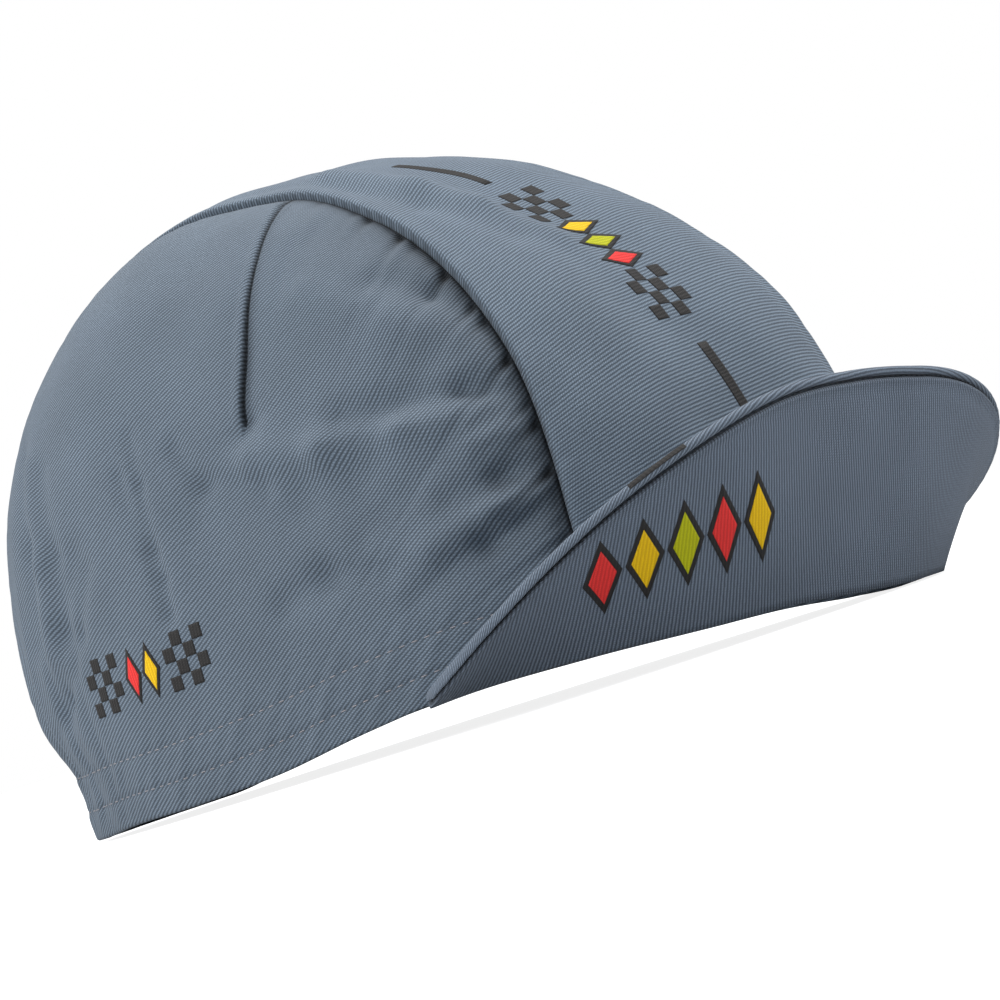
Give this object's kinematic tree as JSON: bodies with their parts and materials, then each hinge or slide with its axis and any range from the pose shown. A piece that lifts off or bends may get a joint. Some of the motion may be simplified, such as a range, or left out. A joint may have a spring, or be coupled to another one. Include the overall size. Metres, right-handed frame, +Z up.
{
  "type": "cycling cap",
  "caption": "Soft cloth cycling cap with a panelled crown, inner sweatband and a short peak turned up in front.",
  "frame": {"origin": "on the ground under the middle of the whole cap", "axes": "+Z up, the peak towards -Y, the wearer's left towards +X"},
  "size_m": [0.1718, 0.224, 0.1254],
  "materials": {
    "crown_centre": "matt cotton twill",
    "crown_side": "matt cotton twill",
    "sweatband": "matt cotton twill",
    "peak_underside": "matt cotton twill",
    "peak_top": "matt cotton twill"
  },
  "bodies": {
    "root": {"centre_panel": "crown_centre", "side_panel_right": "crown_side", "side_panel_left": "crown_side", "sweatband": "sweatband", "peak_underside": "peak_underside", "peak_top": "peak_top"}
  },
  "joints": []
}
